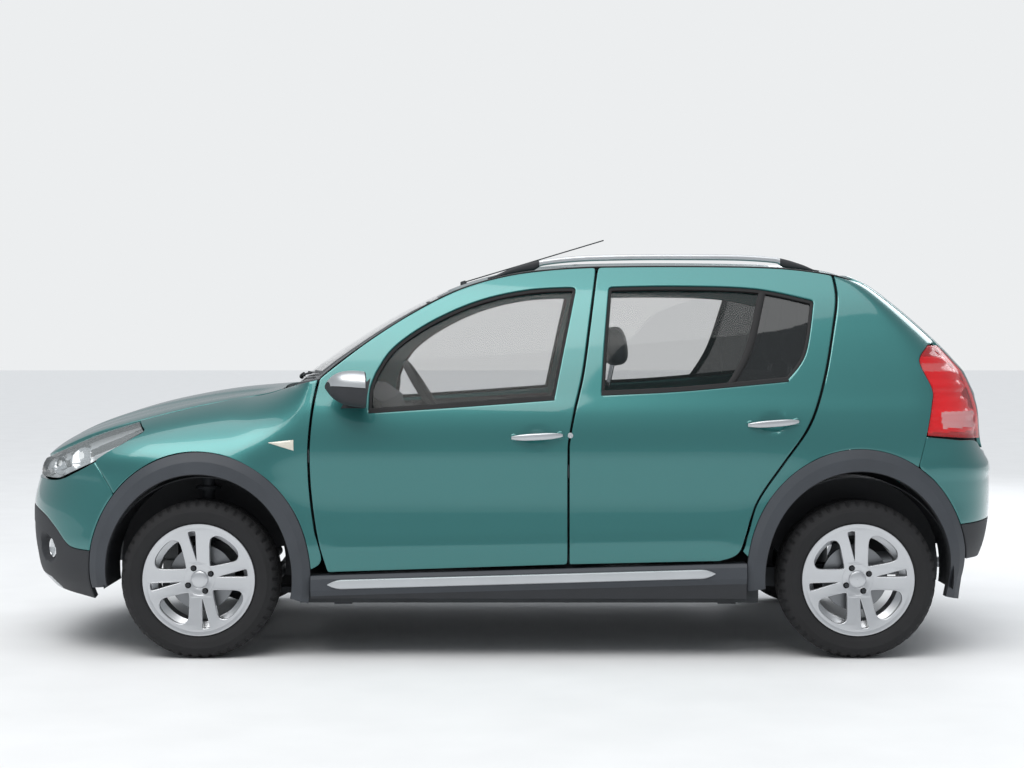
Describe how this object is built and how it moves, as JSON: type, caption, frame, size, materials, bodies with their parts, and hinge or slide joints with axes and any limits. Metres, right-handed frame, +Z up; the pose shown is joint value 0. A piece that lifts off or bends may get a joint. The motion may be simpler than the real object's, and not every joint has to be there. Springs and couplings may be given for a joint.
{
  "type": "hatchback car",
  "caption": "Raised hatchback with hinged side doors, bonnet and tailgate, steered front wheels, dark arch and sill cladding, and bars on the roof.",
  "frame": {"origin": "on the road under the middle of the car's length and width", "axes": "+X to the rear, +Y to the car's right, +Z up"},
  "size_m": [4.0235, 1.9674, 1.6879],
  "materials": {
    "paint": "metallic",
    "black": "grained",
    "gloss": "gloss",
    "silver": "satin",
    "alloy": "satin",
    "steel": "matte",
    "shell": "matte",
    "glass": "clear",
    "lamp": "clear",
    "red_lamp": "gloss",
    "tyre": "matte",
    "fabric": "woven",
    "dash": "grained"
  },
  "bodies": {
    "body": {"platform": "shell", "side_frames": "paint", "front_wings": "paint", "rear_quarters": "paint", "roof": "paint", "bumpers": "paint", "bumper_skirts": "black", "grille": "gloss", "headlamps": "lamp", "tail_lamps": "red_lamp", "side_cladding": "black", "sill_strips": "silver", "windscreen": "glass", "roof_rails": "silver", "aerial": "black", "cowl": "black", "engine": "steel", "front_subframe": "steel", "rear_axle": "steel", "exhaust": "steel", "fuel_tank": "black", "arch_liners": "black", "dashboard": "dash", "seats": "fabric", "hinges": "steel"},
    "bonnet": {"bonnet": "paint"},
    "tailgate": {"tailgate": "paint", "tailgate_glass": "glass"},
    "steering_wheel": {"steering_wheel": "dash"},
    "door_front_left": {"door_front_left": "paint", "glass_front_left": "glass", "fittings_front_left": "gloss"},
    "wheel_front_left": {"wheel_front_left": "alloy", "tyre_front_left": "tyre"},
    "door_front_right": {"door_front_right": "paint", "glass_front_right": "glass", "fittings_front_right": "gloss"},
    "wheel_front_right": {"wheel_front_right": "alloy", "tyre_front_right": "tyre"},
    "door_rear_left": {"door_rear_left": "paint", "glass_rear_left": "glass", "fittings_rear_left": "gloss"},
    "wheel_rear_left": {"wheel_rear_left": "alloy", "tyre_rear_left": "tyre"},
    "door_rear_right": {"door_rear_right": "paint", "glass_rear_right": "glass", "fittings_rear_right": "gloss"},
    "wheel_rear_right": {"wheel_rear_right": "alloy", "tyre_rear_right": "tyre"},
    "knuckle_left": {"knuckle_left": "steel"},
    "knuckle_right": {"knuckle_right": "steel"}
  },
  "joints": [
    {"name": "steer_left", "type": "hinge", "parent": "body", "child": "knuckle_left", "pos_m": [-1.212, -0.69, 0.205], "axis": [0, 0.1632, 0.9866], "range_deg": [-33, 33]},
    {"name": "wheel_front_left_turn", "type": "hinge", "parent": "knuckle_left", "child": "wheel_front_left", "pos_m": [-1.212, -0.74, 0.3105], "axis": [0, 1, 0], "continuous": true},
    {"name": "wheel_rear_left_turn", "type": "hinge", "parent": "body", "child": "wheel_rear_left", "pos_m": [1.376, -0.74, 0.3105], "axis": [0, 1, 0], "continuous": true},
    {"name": "door_front_left_hinge", "type": "hinge", "parent": "body", "child": "door_front_left", "pos_m": [-0.776, -0.85918, 0.8], "axis": [0, 0, -1], "range_deg": [0, 68]},
    {"name": "door_rear_left_hinge", "type": "hinge", "parent": "body", "child": "door_rear_left", "pos_m": [0.238, -0.85806, 0.74], "axis": [0, 0, -1], "range_deg": [0, 68]},
    {"name": "steer_right", "type": "hinge", "parent": "body", "child": "knuckle_right", "pos_m": [-1.212, 0.69, 0.205], "axis": [0, -0.1632, 0.9866], "range_deg": [-33, 33]},
    {"name": "wheel_front_right_turn", "type": "hinge", "parent": "knuckle_right", "child": "wheel_front_right", "pos_m": [-1.212, 0.74, 0.3105], "axis": [0, 1, 0], "continuous": true},
    {"name": "wheel_rear_right_turn", "type": "hinge", "parent": "body", "child": "wheel_rear_right", "pos_m": [1.376, 0.74, 0.3105], "axis": [0, 1, 0], "continuous": true},
    {"name": "door_front_right_hinge", "type": "hinge", "parent": "body", "child": "door_front_right", "pos_m": [-0.776, 0.85918, 0.8], "axis": [0, 0, 1], "range_deg": [0, 68]},
    {"name": "door_rear_right_hinge", "type": "hinge", "parent": "body", "child": "door_rear_right", "pos_m": [0.238, 0.85806, 0.74], "axis": [0, 0, 1], "range_deg": [0, 68]},
    {"name": "bonnet_hinge", "type": "hinge", "parent": "body", "child": "bonnet", "pos_m": [-0.908, 0, 1.042], "axis": [0, 1, 0], "range_deg": [0, 55]},
    {"name": "tailgate_hinge", "type": "hinge", "parent": "body", "child": "tailgate", "pos_m": [1.394, 0, 1.52454], "axis": [0, -1, 0], "range_deg": [0, 80]},
    {"name": "steering_wheel_turn", "type": "hinge", "parent": "body", "child": "steering_wheel", "pos_m": [-0.332, -0.36979, 1.005], "axis": [0.848, 0, 0.5299], "range_deg": [-500, 500]}
  ],
  "couplings": [
    {"joint": "steer_right", "follows": "steer_left", "ratio": 1},
    {"joint": "steering_wheel_turn", "follows": "steer_left", "ratio": 15}
  ]
}
